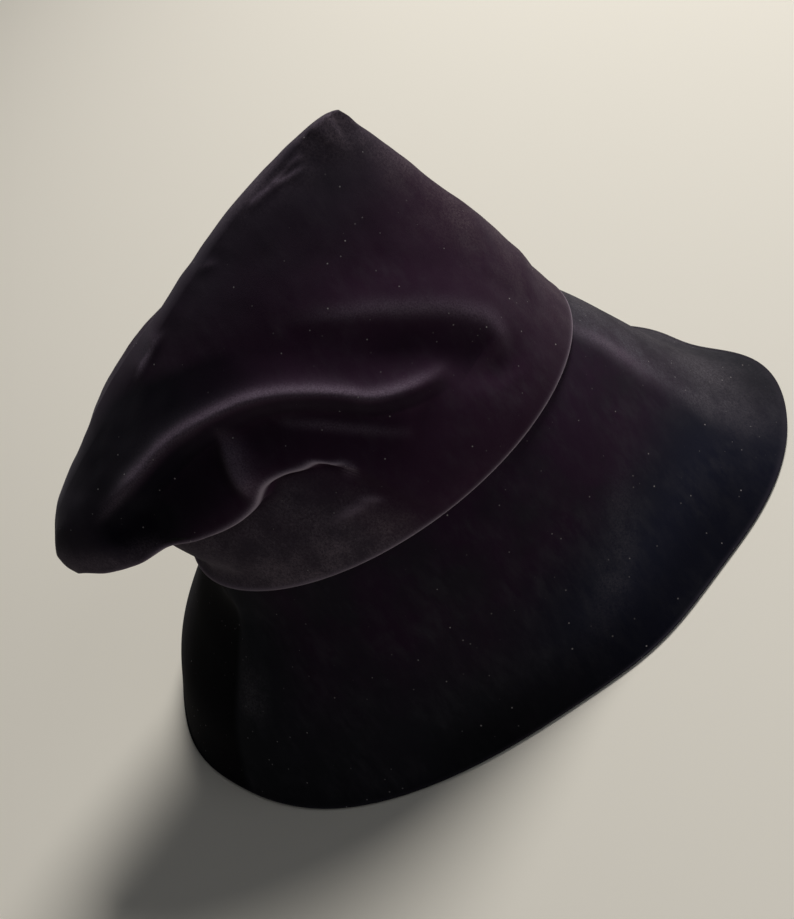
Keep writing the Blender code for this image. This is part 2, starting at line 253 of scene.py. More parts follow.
# %% The tuck's lip
TUCK = table(
    "place level depth sag",
    (0, 0.340, 0.000, 0.000),
    (62, 0.300, 0.000, 0.000),
    (80, 0.318, 0.000, 0.000),
    (84.5, 0.318, 0.000, 0.000),
    (86.3, 0.336, 0.003, 0.001),
    (88, 0.372, 0.005, 0.001),
    (91, 0.396, 0.006, 0.002),
    (94, 0.425, 0.007, 0.003),
    (98, 0.438, 0.008, 0.003),
    (103, 0.415, 0.009, 0.004),
    (117, 0.440, 0.013, 0.005),
    (126, 0.492, 0.017, 0.005),
    (135, 0.510, 0.021, 0.008),
    (147, 0.546, 0.027, 0.0065),
    (157, 0.572, 0.032, 0.0025),
    (180, 0.568, 0.036, 0.001),
    (203, 0.560, 0.031, 0.004),
    (225, 0.520, 0.021, 0.004),
    (243, 0.450, 0.012, 0.003),
    (262, 0.420, 0.005, 0.002),
    (280, 0.400, 0.000, 0.000),
    (360, 0.340, 0.000, 0.000),
)
LIP = 0.34  # the row of the crown's mesh that lies along the lip
LIP_START = 0.9 * LIP  # the row where the cloth starts to turn out into the lip
LIP_TURN = 0.22 * LIP  # and the rows that the turn takes
LIP_SAG = 1.08 * LIP  # the row that sags most
LIP_SAG_SPREAD = 0.05
STAND_CURVE = 0.75  # below 1, the stand leans in early on its way up
STAND_SAG = 0.8  # the stand's top rises to meet the lip by this share of the sag


def tuck(name, around):
    """One column of the tuck's table, at this place round the crown."""
    return follow(TUCK["place"], TUCK[name], np.degrees(around) % 360)


def level_of(around, row):
    """The level of a row of the crown's mesh: the rows crowd along the tuck's lip."""
    lip = tuck("level", around)
    return np.where(row < LIP, lip * row / LIP, lip + (1 - lip) * (row - LIP) / (1 - LIP))


def tucked_point(around, row):
    """A point of the crown with the tuck but without folds."""
    spot = ring_point(around, level_of(around, row))
    depth = np.maximum(tuck("depth", around), 0)
    sag = np.maximum(tuck("sag", around), 0)
    up_the_stand = np.clip(row / LIP_START, 0, 1) ** STAND_CURVE
    below = up_the_stand * (1 - ease((row - LIP_START) / LIP_TURN))
    outward = spot * (1, 1, 0)
    outward = outward / np.maximum(np.linalg.norm(outward, axis=-1, keepdims=True), 1e-6)
    spot = spot - outward * (depth * below)[..., None]
    lip = bell(row - LIP_SAG, LIP_SAG_SPREAD)
    spot[..., 2] += STAND_SAG * sag * up_the_stand**2 * below - sag * lip
    return spot


print("the lip's deepest step is", round(TUCK["depth"].max() * 1000), "mm")

# %% [markdown]
# ## The folds
# The drape leaves ridges and hollows on the crown, and fine puckers near its peak. They could be
# sculpted, but then none of them could be moved later. Here each soft fold is one row: the side it
# is on, how high it stands, how far it spreads above and below its line, the share of its length
# over which each end fades, and its line as seen from the side, as steps forward and up from the
# seam's middle. The cloth rises along the line and falls off smoothly beside it. A hollow is a fold
# with a height below zero.

# %% The folds' table
NEAR, FAR = -1, 1
RIDGE_LINE = (
    (-0.1160, 0.0507), (-0.1050, 0.0544), (-0.0924, 0.0584), (-0.0797, 0.0625), (-0.0636, 0.0676),
    (-0.0521, 0.0694), (-0.0406, 0.0702), (-0.0289, 0.0697), (-0.0185, 0.0676), (-0.0086, 0.0636),
    (-0.0005, 0.0590), (0.0056, 0.0545), (0.0113, 0.0499), (0.0205, 0.0462), (0.0290, 0.0434),
    (0.0381, 0.0410), (0.0461, 0.0395),
)
FOLDS = (
    ("swell of the main ridge", NEAR, 0.0030, 0.0066, 0.0050, 0.25, RIDGE_LINE),
    ("main ridge", NEAR, 0.0040, 0.0026, 0.0026, 0.18, RIDGE_LINE),
    (
        "hollow under the main ridge", NEAR, -0.0060, 0.0033, 0.0085, 0.20,
        (
            (-0.1200, 0.0435), (-0.1040, 0.0486), (-0.0877, 0.0539), (-0.0738, 0.0592), (-0.0586, 0.0634),
            (-0.0400, 0.0641), (-0.0220, 0.0617), (-0.0060, 0.0536), (0.0080, 0.0455), (0.0200, 0.0398),
        ),
    ),
    (
        "deep of the puff", NEAR, -0.0030, 0.0070, 0.0070, 0.40,
        ((-0.1180, 0.0440), (-0.1060, 0.0455), (-0.0940, 0.0490), (-0.0800, 0.0545)),
    ),
    (
        "front ridge", NEAR, 0.0036, 0.0065, 0.0045, 0.30,
        (
            (-0.0060, 0.0870), (0.0100, 0.0810), (0.0234, 0.0741), (0.0332, 0.0685), (0.0438, 0.0610),
            (0.0540, 0.0525), (0.0613, 0.0437), (0.0652, 0.0365), (0.0659, 0.0283), (0.0645, 0.0201),
        ),
    ),
    (
        "front hollow", NEAR, -0.0032, 0.0060, 0.0070, 0.35,
        (
            (0.0080, 0.0700), (0.0261, 0.0614), (0.0404, 0.0530), (0.0502, 0.0425), (0.0553, 0.0327),
            (0.0564, 0.0243),
        ),
    ),
    (
        "deep of the front hollow", NEAR, -0.0026, 0.0060, 0.0060, 0.50,
        ((0.0600, 0.0330), (0.0590, 0.0260), (0.0565, 0.0190)),
    ),
    (
        "third ridge", NEAR, 0.0014, 0.0026, 0.0030, 0.50,
        ((-0.0260, 0.0610), (-0.0204, 0.0589), (-0.0081, 0.0516), (0.0128, 0.0363), (0.0180, 0.0330)),
    ),
    (
        "crescent", NEAR, 0.0040, 0.0065, 0.0022, 0.35,
        ((-0.0425, 0.0690), (-0.0471, 0.0610), (-0.0490, 0.0540), (-0.0488, 0.0475), (-0.0480, 0.0400)),
    ),
    (
        "small bump", NEAR, 0.0012, 0.0022, 0.0030, 0.50,
        ((-0.0320, 0.0212), (-0.0257, 0.0215), (-0.0206, 0.0218), (-0.0157, 0.0213), (-0.0110, 0.0205)),
    ),
    (
        "small bump's second line", NEAR, 0.0006, 0.0016, 0.0020, 0.50,
        ((-0.0180, 0.0236), (-0.0143, 0.0233), (-0.0114, 0.0217), (-0.0089, 0.0200), (-0.0060, 0.0185)),
    ),
    (
        "curl of the lip", NEAR, 0.0013, 0.0014, 0.0014, 0.50,
        ((-0.0150, 0.0396), (-0.0112, 0.0377), (-0.0108, 0.0355), (-0.0121, 0.0335), (-0.0155, 0.0316)),
    ),
    (
        "front edge strip", NEAR, 0.0018, 0.0035, 0.0050, 0.30,
        ((0.0780, 0.084), (0.0844, 0.0544), (0.0897, 0.0323), (0.0946, 0.0164)),
    ),
    (
        "front wrinkle", NEAR, 0.0004, 0.0020, 0.0020, 0.50,
        ((0.0700, 0.0560), (0.0746, 0.0505), (0.0844, 0.0347), (0.0938, 0.0151)),
    ),
    ("peak nub", NEAR, 0.0016, 0.0050, 0.0050, 0.30, ((0.050, 0.122), (0.056, 0.124), (0.061, 0.124))),
    (
        "first pucker", NEAR, 0.0007, 0.0008, 0.0008, 0.20,
        ((0.0260, 0.1186), (0.0300, 0.1196), (0.0343, 0.1204), (0.0394, 0.1211), (0.0440, 0.1212)),
    ),
    (
        "second pucker", NEAR, 0.0008, 0.0009, 0.0009, 0.20,
        (
            (0.0130, 0.1170), (0.0183, 0.1177), (0.0233, 0.1183), (0.0285, 0.1186), (0.0348, 0.1184),
            (0.0420, 0.1180),
        ),
    ),
    (
        "hollow between the puckers", NEAR, -0.0010, 0.0012, 0.0012, 0.60,
        ((0.0250, 0.1180), (0.0330, 0.1195), (0.0400, 0.1194)),
    ),
    (
        "small pucker", NEAR, 0.0006, 0.0012, 0.0012, 0.50,
        ((-0.0190, 0.1075), (-0.0117, 0.1085), (-0.0060, 0.1080)),
    ),
    (
        "long pucker", NEAR, 0.0006, 0.0010, 0.0010, 0.30,
        (
            (-0.0400, 0.0968), (-0.0449, 0.0950), (-0.0483, 0.0934), (-0.0515, 0.0919), (-0.0560, 0.0897),
            (-0.0600, 0.0876), (-0.0645, 0.0858),
        ),
    ),
    (
        "hollow behind the long pucker", NEAR, -0.0008, 0.0016, 0.0016, 0.50,
        ((-0.0470, 0.0958), (-0.0530, 0.0931), (-0.0600, 0.0898)),
    ),
    ("far ridge", FAR, 0.0060, 0.0083, 0.0083, 0.30, ((-0.105, 0.056), (-0.050, 0.078), (0.020, 0.060))),
    ("far hollow", FAR, -0.0045, 0.0070, 0.0070, 0.30, ((-0.050, 0.060), (-0.010, 0.055), (0.045, 0.030))),
)
print(len(FOLDS), "folds")

# %% How high each fold stands at a point
FOLD_START = 0.012  # how far above the seam the folds reach their full height
FOLD_END_SHARE = 0.05  # the share of its height that a fold keeps at its very ends
SIDE_OVERLAP = 0.003  # how far a fold reaches past the middle of the hat
SIDE_BLEND = 0.008  # and how gently it ends there
STEPS_PER_KNOT = 4


def distance_to(path, forward, up):
    """How far each place is to the left of a smooth path, below zero to its right, and the share
    of the path that is passed there."""
    knots = np.array(path)
    share = np.linspace(0, 1, len(knots))
    steps = np.linspace(0, 1, STEPS_PER_KNOT * len(knots) + 1)
    run = np.stack([follow(share, knots[:, 0], steps), follow(share, knots[:, 1], steps)], -1)
    nearest = np.full(forward.shape, np.inf)
    passed = np.zeros(forward.shape)
    left = np.ones(forward.shape)
    for i in range(len(run) - 1):
        (f0, u0), (f1, u1) = run[i], run[i + 1]
        df, du = f1 - f0, u1 - u0
        along = np.clip(((forward - f0) * df + (up - u0) * du) / (df**2 + du**2), 0, 1)
        away = np.hypot(forward - f0 - along * df, up - u0 - along * du)
        closer = away < nearest
        passed = np.where(closer, steps[i] + along * (steps[i + 1] - steps[i]), passed)
        left = np.where(closer, np.sign(df * (up - u0) - du * (forward - f0)), left)
        nearest = np.where(closer, away, nearest)
    return nearest * left, passed


def fold_shares(spot):
    """For each fold: its share of its full height at this point, that share without the fall
    beside its line, and how far above its line the point is."""
    side, forward, up = spot[..., 0], -spot[..., 1], spot[..., 2] - SEAM_HEIGHT
    shares = {}
    for name, which, height, above, below, end, path in FOLDS:
        away, passed = distance_to(path, forward, up)
        fade = ease(FOLD_END_SHARE + passed / end) * ease(FOLD_END_SHARE + (1 - passed) / end)
        on_side = ease((side * which + SIDE_OVERLAP) / SIDE_BLEND)
        spread = np.where(away > 0, above, below)
        strength = fade * on_side * ease(up / FOLD_START)
        shares[name] = np.exp(-0.5 * (away / spread) ** 2) * strength, strength, away
    return shares


# %% [markdown]
# ## The finished surface of the crown
# The folds are laid on the tucked crown, straight out of its plain rings. Where the lip hides the
# cloth behind it, no fold shows, so none is laid there. The very tip of the peak is a little worn
# down, as it is where a hat is picked up.

# %% The crown's surface with its tuck and folds
HIDING_DEPTH = 0.004  # a step this deep hides the cloth behind the lip
HIDDEN_FROM = 0.7 * LIP
HIDDEN_BLEND = 0.2 * LIP
PEAK_BLUNTING = 0.0018  # how much the peak's tip is worn down
PEAK_SPREAD = 14  # degrees to each side of the front
PEAK_START = 0.85  # the row where the wear starts
PROBE = 1e-3  # the step between the two points that a direction is measured from


def outward_of(around, row):
    """The direction straight out of the crown, before its tuck and folds."""
    row = np.clip(row, 0.01, 0.97)
    across = ring_point(around + PROBE, level_of(around + PROBE, row))
    across = across - ring_point(around - PROBE, level_of(around - PROBE, row))
    upward = ring_point(around, level_of(around, row + PROBE))
    upward = upward - ring_point(around, level_of(around, row - PROBE))
    normal = np.cross(upward, across)
    return normal / np.linalg.norm(normal, axis=-1, keepdims=True)


def crown_point(around, row):
    """A point of the finished crown."""
    spot = tucked_point(around, row)
    hidden = np.clip(tuck("depth", around) / HIDING_DEPTH, 0, 1)
    hidden = hidden * ease((row - HIDDEN_FROM) / HIDDEN_BLEND)
    hidden = hidden * (1 - ease((row - LIP_START) / HIDDEN_BLEND))
    shares = fold_shares(spot)
    height = sum(fold[2] * shares[fold[0]][0] for fold in FOLDS)
    worn = bell(turn_from(0, around), PEAK_SPREAD) * ease((row - PEAK_START) / (1 - PEAK_START))
    spot[..., 2] -= PEAK_BLUNTING * worn
    return spot + outward_of(around, row) * (height * (1 - hidden))[..., None]


hem = crown_point(np.linspace(0, 2 * np.pi, FLAT_SEGMENTS), np.zeros(FLAT_SEGMENTS))
print("the crown's hem is", np.round(1000 * (hem.max(0) - hem.min(0))[:2], 1), "mm wide and long")

# %% [markdown]
# ## From surfaces to closed pieces
# A grid of points becomes a skin of quads. Each piece here has an outer and an inner skin one wall
# apart, joined round the edges, so that it is a closed solid like the real cloth. The Solidify
# modifier could do this too, but a hand-made inner skin can be coarser where nobody looks, and it
# can carry its own cloth.

# %% Helpers for skins
SEGMENTS = 432  # points round each ring
VELVET, INNER = 0, 1  # a piece's two material slots


def grid_normals(grid):
    """Directions out of a closed ring of points in rows."""
    across = np.roll(grid, -1, 1) - np.roll(grid, 1, 1)
    upward = np.gradient(grid, axis=0)
    normal = np.cross(upward, across)
    return normal / np.maximum(np.linalg.norm(normal, axis=-1, keepdims=True), 1e-12)


def around_and(rows):
    """The angle and the row of each point of a grid with these rows."""
    return np.meshgrid(np.linspace(0, 2 * np.pi, SEGMENTS, endpoint=False), np.array(rows))


def spaced(*stretches):
    """Row places: each stretch is where it ends and how many rows it takes, starting from 0."""
    places = [0.0]
    for end, count in stretches:
        places.extend(np.linspace(places[-1], end, count + 1)[1:])
    return np.array(places)


def ring_faces(rows):
    """Quads between neighbouring rows of a mesh whose rows are closed rings."""
    low = np.arange(rows - 1)[:, None] * SEGMENTS
    here = np.arange(SEGMENTS)[None]
    after = (here + 1) % SEGMENTS
    quads = np.stack([low + here, low + SEGMENTS + here, low + SEGMENTS + after, low + after], -1)
    return quads.reshape(-1, 4).tolist()


def ridge_faces(first):
    """Faces that close a ring by joining its near half to its far half."""
    half = SEGMENTS // 2
    faces = [[first, first + SEGMENTS - 1, first + 1]]
    for i in range(1, half - 1):
        faces.append([first + i, first + SEGMENTS - i, first + SEGMENTS - i - 1, first + i + 1])
    faces.append([first + half - 1, first + half + 1, first + half])
    return faces


print("a ring of", SEGMENTS, "points at the seam has one every",
      round(2000 * np.pi * SEAM_HALF_LENGTH / SEGMENTS, 1), "mm at most")

# %% A piece of cloth
def add_piece(name, points, faces, slot_of_face, marks):
    """A mesh object. The marks are numbers on its first points, which the velvet reads."""
    mesh = bpy.data.meshes.new(name)
    mesh.from_pydata((points - CENTRE).tolist(), [], faces)
    for mark, values in marks.items():
        layer = mesh.attributes.new(mark, "FLOAT", "POINT")
        unmarked = np.zeros(len(points) - values.size)
        layer.data.foreach_set("value", np.append(values.ravel(), unmarked))
    mesh.polygons.foreach_set("material_index", slot_of_face)
    mesh.shade_smooth()
    piece = bpy.data.objects.new(name, mesh)
    bpy.context.scene.collection.objects.link(piece)
    triangles = sum(len(face) - 2 for face in faces)
    print(name, "has", triangles, "triangles")
    return piece


# %% [markdown]
# ## Where the crown's velvet looks different
# Velvet shows its life in its pile, and dust settles where nobody brushes. Here the light that the
# folds' crests and edges catch and the shade in their hollows are painted into the velvet's colour as
# well. The look could be painted as a picture and wrapped round the hat. Here it is worked out from
# the shape instead, as marks: numbers from 0 to 1 on the cloth's points, which the velvet turns into
# colour. `painted_highlight` is a painted highlight, `turned` a painted highlight along a turned edge,
# `dust` dust in some places and painted light in others, `painted_shade` painted shade, `cast` a purple
# cast, and
# `tint` the cloth's second colour. Those of the folds follow them when they are moved. In the marks,
# angles are in degrees from the front, steps forward and up are in metres, and rows run from 0 to 1.

# %% The folds with a painted highlight, and those with painted shade
HIGHLIGHTED_FOLDS = (
    # name, how far the painted highlight lies above the fold's line, how far it spreads up and down from
    # there,
    # and how strong it is
    ("main ridge", 0.0014, 0.0014, 0.0010, 0.72),
    ("swell of the main ridge", 0.0014, 0.0040, 0.0010, 0.08),
    ("front ridge", 0.0004, 0.0023, 0.0016, 0.44),
    ("third ridge", 0.0000, 0.0013, 0.0013, 0.34),
    ("crescent", 0.0000, 0.0045, 0.0012, 0.66),
    ("small bump", 0.0000, 0.0014, 0.0012, 0.75),
    ("small bump's second line", 0.0000, 0.0010, 0.0010, 0.60),
    ("curl of the lip", 0.0000, 0.0012, 0.0012, 0.90),
    ("first pucker", 0.0000, 0.0004, 0.0004, 0.55),
    ("second pucker", 0.0000, 0.0005, 0.0005, 0.95),
    ("small pucker", 0.0000, 0.0005, 0.0005, 0.30),
    ("long pucker", 0.0000, 0.0005, 0.0005, 0.80),
)
SHADED = {
    "hollow under the main ridge": 0.30,
    "deep of the puff": 0.85,
    "front hollow": 0.35,
    "deep of the front hollow": 1.0,
    "hollow between the puckers": 0.5,
    "hollow behind the long pucker": 0.8,
}


def band(x, low, high, soft):
    """1 between low and high, falling softly to 0 on both sides."""
    return ease((x - low) / soft + 0.5) * ease((high - x) / soft + 0.5)


def rise(x, start, end):
    """0 before start, 1 past end, and a smooth step between. It falls where end is below start."""
    return ease((x - start) / (end - start))


print(len(HIGHLIGHTED_FOLDS), "folds catch light and", len(SHADED), "hollows lie deep")

# %% The crown's painted highlights
# the light here is a painted highlight, on the main ridge, along the lip and at the hem
RIDGE_DIM = (0.008, 0.038)  # the main ridge's light is halved between these steps forward
LIP_LIGHT = 1.09 * LIP  # the row that shines along the lip
LIP_LIGHT_SPREAD = 0.013
LIP_EDGE_DEPTH = 0.003  # a step this deep has a shining lip
HEM_LIGHT = 0.006  # how quickly the light fades up from the hem, in rows
HEM_EDGE = 0.0035  # and the turned edge's own


def fold_highlights(around, rows, forward, shares):
    """Painted highlights: pale colour on the folds' crests, along the lip and the hem, and where the cloth
    is turned to an edge.
    """
    painted_highlight = 0
    for name, centre, above, below, share in HIGHLIGHTED_FOLDS:
        _, strength, away = shares[name]
        spread = np.where(away > centre, above, below)
        light = share * strength * np.exp(-0.5 * ((away - centre) / spread) ** 2)
        if "main ridge" in name:
            light = light * (1 - 0.5 * rise(forward, *RIDGE_DIM))
        painted_highlight = painted_highlight + light
    lip = np.clip(tuck("depth", around) / LIP_EDGE_DEPTH, 0, 1)
    lip = lip * bell(rows - LIP_LIGHT, LIP_LIGHT_SPREAD)
    painted_highlight = painted_highlight + 1.4 * lip + 1.1 * np.exp(-rows / HEM_LIGHT)
    # turned is a painted highlight along the lip and the hem
    turned = 1.2 * lip**3 + np.exp(-rows / HEM_EDGE)
    return np.clip(painted_highlight, 0, 1), np.clip(turned, 0, 1)


# %% The crown's painted shade
# painted shade in dark bands beside the main ridge's line: from, to, and how soft each is
UNDER_RIDGE = (-0.0056, -0.0012, 0.0014)
OVER_RIDGE = (0.0030, 0.0170, 0.0050)


def painted_fold_shade(rows, forward, shares):
    """Painted shade: the crown's colour darkened in its hollows and beside its main ridge."""
    painted_shade = sum(share * shares[name][0] for name, share in SHADED.items())
    _, strength, away = shares["main ridge"]
    painted_shade = np.maximum(painted_shade, 0.50 * strength * band(away, *UNDER_RIDGE))
    flank = 0.10 + 0.60 * rise(forward, -0.005, -0.035)
    painted_shade = np.maximum(painted_shade, flank * strength * band(away, *OVER_RIDGE))
    return painted_shade * (rows > LIP_START)


# %% All of the crown's marks
def crown_marks(around, rows):
    """Every mark on the crown's outer cloth."""
    spot = tucked_point(around, rows)
    shares = fold_shares(spot)
    forward, up = -spot[..., 1], spot[..., 2] - SEAM_HEIGHT
    painted_highlight, turned = fold_highlights(around, rows, forward, shares)
    # dust lies on the stand under the lip and along the front, the peak is paler as a painted highlight,
    # and the puff's lower end is paler too; the whole back gets painted shade, darker than the front
    stand = band(turn_from(0, around), 93, 165, 22) * (1 - rise(rows, 0.8 * LIP, LIP))
    front_edge = bell(turn_from(8, around), 18)
    peak = rise(up, 0.108, 0.122)
    puff = rise(forward, -0.080, -0.110) * rise(up, 0.048, 0.036) * (rows > LIP)
    back = rise(forward, -0.020, -0.080) * ease((rows - LIP) / 0.1)
    dust = (1 - 0.6 * rows / LIP) * stand + 0.5 * front_edge + 0.6 * peak + 0.5 * puff
    low = 1 - rise(up, 0.075, 0.120)
    return {
        "painted_highlight": painted_highlight,
        "turned": turned,
        "dust": np.clip(dust, 0, 1),
        "painted_shade": np.clip(painted_fold_shade(rows, forward, shares) + 0.50 * back * (1 - puff), 0, 1),
        "cast": 0.3 + 0.7 * rise(forward, -0.110, -0.050) * low * (1 - 0.9 * stand),
        "tint": rise(up, 0.110, 0.075) * rise(forward, -0.110, -0.070) * (1 - stand),
    }


def say_marks(where, marks_of, degrees, row):
    """Print the marks at one place."""
    marks = marks_of(np.full((1, 1), math.radians(degrees)), np.full((1, 1), row))
    print(where, {name: round(float(values[0, 0]), 2) for name, values in marks.items()})


say_marks("on the stand, under the lip:", crown_marks, 130, 0.5 * LIP)

# %% [markdown]
# ## The crown's cloth
# The crown is cut from one velvet and closed along its ridge. Its outer skin has rows that crowd
# together along the hem and the lip, where the shape turns quickly. Real cloth is never quite
# smooth, so a small sway is added to it: a displacement texture could do that, but here it has to
# be in the mesh, so that the piece itself has it. The inner skin keeps fewer rows.

# %% The crown's walls
CROWN_ROWS = spaced((0.012, 4), (0.29, 32), (0.42, 40), (0.92, 72), (1.0, 12))
INNER_EVERY = 5  # the inner skin keeps every fifth row
SWAY = ((0.0005, 0.022, 3.0), (0.00025, 0.009, 8.0))  # height, size and seed of the cloth's lumps
SWAY_START = 0.05  # the row where the sway has its full height
ROOF_FROM, ROOF_BLEND = 0.6, 0.25  # rows where the wall's step turns from sideways to downwards
ROOF_LEAN = 0.8  # how far the step leans in from the ridge's ends
ROOF_DROP = 1.35  # and how far it goes down, in walls


def small_noise(points, size, seed):
    """Smooth noise from -1 to 1 over these points, with lumps of about this size."""
    flat = points.reshape(-1, 3) / size + seed
    return np.array([noise.noise(Vector(spot)) for spot in flat]).reshape(points.shape[:-1])


def walls_of(outer, rows):
    """Steps of about one wall into the crown: across its sides, and down at the ridge."""
    normal = grid_normals(outer)
    normal[0] *= (1, 1, 0)
    normal[0] /= np.linalg.norm(normal[0], axis=-1, keepdims=True)
    ends = outer[:, :, 1].max(1), outer[:, :, 1].min(1)
    endward = (2 * outer[:, :, 1] - (ends[0] + ends[1])[:, None]) / (ends[0] - ends[1])[:, None]
    roof = np.stack([0 * endward, ROOF_LEAN * endward, ROOF_DROP + 0 * endward], -1)
    share = ease((rows - ROOF_FROM) / ROOF_BLEND)[..., None]
    return -WALL * ((1 - share) * normal + share * roof)


print("the crown has", len(CROWN_ROWS), "rows outside")

# %% The crown's cloth
def make_crown():
    around, rows = around_and(CROWN_ROWS)
    outer = crown_point(around, rows)
    normal = grid_normals(outer)
    sway = sum(height * small_noise(outer, size, seed) for height, size, seed in SWAY)
    outer = outer + normal * (sway * ease(rows / SWAY_START))[..., None]
    keep = np.unique(np.append(np.arange(0, len(CROWN_ROWS), INNER_EVERY), len(CROWN_ROWS) - 1))
    inner = outer[keep] + walls_of(outer, rows)[keep]
    skin = ring_faces(len(CROWN_ROWS)) + ridge_faces((len(CROWN_ROWS) - 1) * SEGMENTS)
    start = outer.shape[0] * SEGMENTS
    back = ring_faces(len(keep)) + ridge_faces((len(keep) - 1) * SEGMENTS)
    back = [[start + corner for corner in reversed(face)] for face in back]
    edge = [[i, (i + 1) % SEGMENTS, start + (i + 1) % SEGMENTS, start + i] for i in range(SEGMENTS)]
    slots = [VELVET] * (len(skin) + len(edge)) + [INNER] * len(back)
    points = np.concatenate([outer.reshape(-1, 3), inner.reshape(-1, 3)])
    return add_piece("crown_cloth", points, skin + edge + back, slots, crown_marks(around, rows))


crown_cloth = make_crown()

# %% [markdown]
# ## The brim's cloth
# The brim is stretched smooth over its stiffening, so it has no folds, only marks in its colour: the
# front is paler as far as the front corner, a painted light, that corner's crest has a painted
# highlight, and two paler patches are painted light too. The side has a cool tint and is darker
# towards the edge, and the back is a painted shadow. Its section is one closed loop: down the
# outside, round the turned edge that the hat stands on, up the inside, and over a short collar that
# stands inside the crown's hem. It could be made with the Screw modifier, but that keeps one section
# all the way round, and this brim's section changes.

# %% The brim's marks
def brim_marks(around, rows):
    """Every mark on the brim's outer cloth."""
    degrees = turn_from(0, around)
    # the front is paler up to the front corner, a painted light, and fades near the edge, and the
    # corner's crest has a painted highlight as a pale streak
    corner = BRIM_CORNERS["place"][0] + BRIM_CORNERS["drift"][0] * rows
    fade = 0.8 * rise(rows, 0.70, 0.98) * rise(degrees, -12, 4)
    front = band(degrees, -180, corner, 9) * rise(degrees, -120, -50) * (1 - fade)
    corner_highlight = bell(degrees - corner + 1, 3) * bell(rows - 0.18, 0.19)
    # two paler patches of painted light: a lit facet beside the back corner, and a bluish sheen on the
    # side
    facet_light = band(degrees, 145, 153, 5) * bell(rows - 0.44, 0.09)
    side_sheen = bell(degrees - 64, 11) * bell(rows - 0.58 - 0.012 * (degrees - 64), 0.09)
    # a painted shadow, nearly black, all over the back, and darker colour low on the side and along its
    # rim
    behind = rise(degrees, 153, 156) + rise(degrees, -135, -175)
    low = 0.15 * band(degrees, 84, 158, 30) * rise(rows, 0.40, 0.85)
    rim = 0.5 * band(degrees, 34, 112, 22) * rise(rows, 0.64, 0.88)
    # these marks paint light and shade: pale highlights, a pale edge and pale patches, and a painted
    # shadow with darkening
    return {
        "painted_highlight": np.clip(0.10 * front + 0.44 * corner_highlight, 0, 1),
        "turned": 0.05 * rise(rows, 0.965, 0.995),
        "dust": np.clip(0.60 * front + 0.75 * facet_light + 0.40 * side_sheen, 0, 1),
        "painted_shade": np.clip(behind + low + rim, 0, 1),
        "tint": band(degrees, 26, 84, 26) * rise(rows, 0.30, 0.70),
        "cast": band(degrees, 10, 138, 26) * (1 - 0.85 * rise(rows, 0.30, 0.75)),
    }


say_marks("half way down the brim's front:", brim_marks, 0, 0.5)

# %% The brim's cloth
BRIM_ROWS = spaced((0.9, 76), (1.0, 14))[2:]
EDGE_ROUND = 0.0013  # how far the turned edge is rounded
EDGE_WIDTH = 0.0032  # the flat ring under it that the hat stands on
COLLAR_TOP = 0.06  # the crown's row that the collar reaches inside it


def make_brim():
    around, rows = around_and(BRIM_ROWS)
    outer = brim_point(around, rows)
    inner = outer + WALL * grid_normals(outer)
    inner = np.flip(inner[::INNER_EVERY], 0)
    outer[..., 2] = np.maximum(outer[..., 2], EDGE_ROUND)
    edge = outer[-1:] * (1, 1, 0)
    sideways = edge / np.linalg.norm(edge, axis=-1, keepdims=True)
    turns = []
    for angle in np.radians((30, 60, 90)):
        height = (0, 0, EDGE_ROUND * (1 - math.sin(angle)))
        turns.append(edge - sideways * EDGE_ROUND * (1 - math.cos(angle)) + height)
    turns.append(edge - sideways * (EDGE_ROUND + EDGE_WIDTH))
    seam_around, seam_rows = around_and([0.0, COLLAR_TOP])
    collar = crown_point(seam_around, seam_rows)
    inward = -grid_normals(collar) * (1, 1, 0)
    collar_out = np.flip(collar + (WALL + CLEARANCE) * inward, 0)
    collar_in = collar + (2 * WALL + CLEARANCE) * inward
    loops = np.concatenate([collar_out, outer, *turns, inner[1:], collar_in, collar_out[:1]])
    count = len(loops) - 1
    faces = [[corner % (count * SEGMENTS) for corner in reversed(face)] for face in ring_faces(count + 1)]
    velvet_rows = 2 + len(outer) + len(turns)
    slots = [VELVET] * (velvet_rows * SEGMENTS) + [INNER] * (len(faces) - velvet_rows * SEGMENTS)
    blank = np.zeros((2, SEGMENTS))
    marks = {name: np.concatenate([blank, values]) for name, values in brim_marks(around, rows).items()}
    return add_piece("brim_cloth", loops[:-1].reshape(-1, 3), faces, slots, marks)


brim_cloth = make_brim()

# %% [markdown]
# ## Velvet
# Velvet is a cloth with a standing pile. Seen straight on, the eye looks down between the hairs and
# the cloth is nearly black. Seen along the surface, the hairs' sides catch the light and it turns
# pale. The hairs could be grown as particles, but there would be millions of them. The Principled
# shader's sheen gives the same pale rim, so it is laid here over an almost black base. The marks
# say where that base turns purple, wine or dusty, and where shade and highlights are painted into it
# as darker and paler colour. Noise drawn out along one way makes the strokes of the last brushing,
# fine noise makes the grain, and a dot in each of many small cells makes the specks of lint. Two fine
# bumps break up the light.

# %% Helpers for a cloth's nodes
def link(tree, source, target):
    tree.links.new(source, target)


def noise_node(tree, place, scale, detail, roughness):
    made = tree.nodes.new("ShaderNodeTexNoise")
    made.inputs["Scale"].default_value = scale
    made.inputs["Detail"].default_value = detail
    made.inputs["Roughness"].default_value = roughness
    link(tree, place, made.inputs["Vector"])
    return made.outputs["Fac"]


def stretch_node(tree, value, low, high, least=0.0):
    """A value between low and high, spread out over least to 1."""
    made = tree.nodes.new("ShaderNodeMapRange")
    made.inputs["From Min"].default_value = low
    made.inputs["From Max"].default_value = high
    made.inputs["To Min"].default_value = least
    link(tree, value, made.inputs["Value"])
    return made.outputs["Result"]


